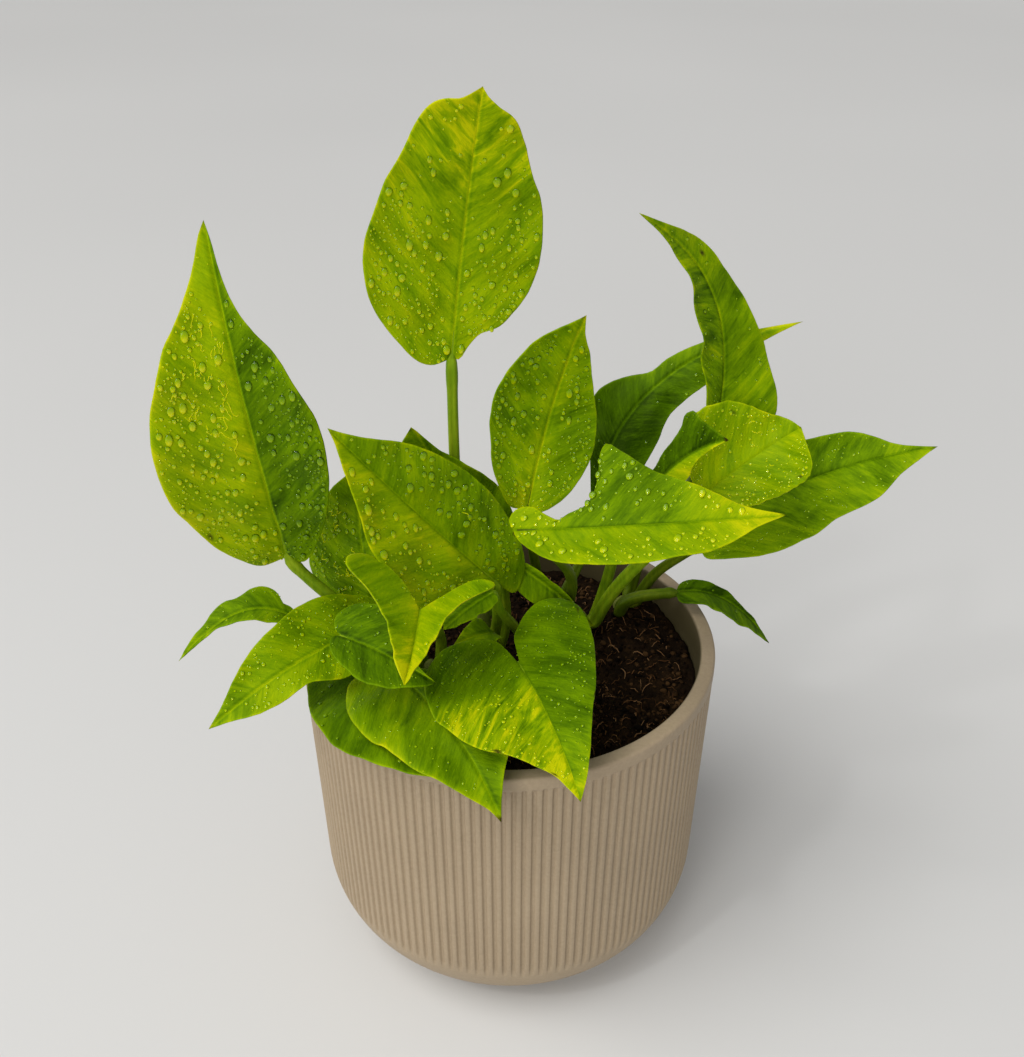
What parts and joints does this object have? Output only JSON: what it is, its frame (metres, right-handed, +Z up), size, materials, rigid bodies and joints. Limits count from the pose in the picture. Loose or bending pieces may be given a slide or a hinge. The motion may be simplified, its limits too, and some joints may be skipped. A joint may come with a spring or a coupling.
{
  "type": "potted pothos plant",
  "caption": "Pothos with heart-shaped green and lime leaves on long stalks, growing in soil in a round planter with fine upright flutes and a plain rim.",
  "frame": {"origin": "centre of the pot's flat underside, on the ground", "axes": "+Z up, +X to the plant's right as seen from the front, +Y away from the viewer"},
  "size_m": [0.248, 0.158, 0.2956],
  "materials": {
    "pot": "matte taupe",
    "soil": "dark moist potting mix with lighter fibres",
    "stem": "soft satin, olive green",
    "stalk": "soft satin, light green",
    "leaf": "waxy satin, green marbled with lime and yellow"
  },
  "bodies": {
    "root": {"pot": "pot", "soil": "soil", "stem_right": "stem", "stem_inner_right": "stem", "stem_middle": "stem", "stem_centre": "stem", "stem_left": "stem", "stem_front": "stem", "stalk_tall": "stalk", "leaf_tall": "leaf", "stalk_left_tall": "stalk", "leaf_left_tall": "leaf", "stalk_centre": "stalk", "leaf_centre": "leaf", "stalk_rear_middle": "stalk", "leaf_rear_middle": "leaf", "stalk_rear_left": "stalk", "leaf_rear_left": "leaf", "stalk_middle_upright": "stalk", "leaf_middle_upright": "leaf", "stalk_bright": "stalk", "leaf_bright": "leaf", "stalk_folded": "stalk", "leaf_folded": "leaf", "stalk_under_middle": "stalk", "leaf_under_middle": "leaf", "stalk_front_small": "stalk", "leaf_front_small": "leaf", "stalk_left_low": "stalk", "leaf_left_low": "leaf", "stalk_far_left": "stalk", "leaf_far_left": "leaf", "stalk_rim_dark": "stalk", "leaf_rim_dark": "leaf", "stalk_rim_light": "stalk", "leaf_rim_light": "leaf", "stalk_heart": "stalk", "leaf_heart": "leaf", "stalk_rear_dark": "stalk", "leaf_rear_dark": "leaf", "stalk_curled": "stalk", "leaf_curled": "leaf", "stalk_cupped": "stalk", "leaf_cupped": "leaf", "stalk_small_dark": "stalk", "leaf_small_dark": "leaf", "stalk_right_long": "stalk", "leaf_right_long": "leaf", "stalk_right_small": "stalk", "leaf_right_small": "leaf", "stalk_inner_strip": "stalk", "leaf_inner_strip": "leaf", "stalk_young": "stalk", "leaf_young": "leaf"}
  },
  "joints": []
}
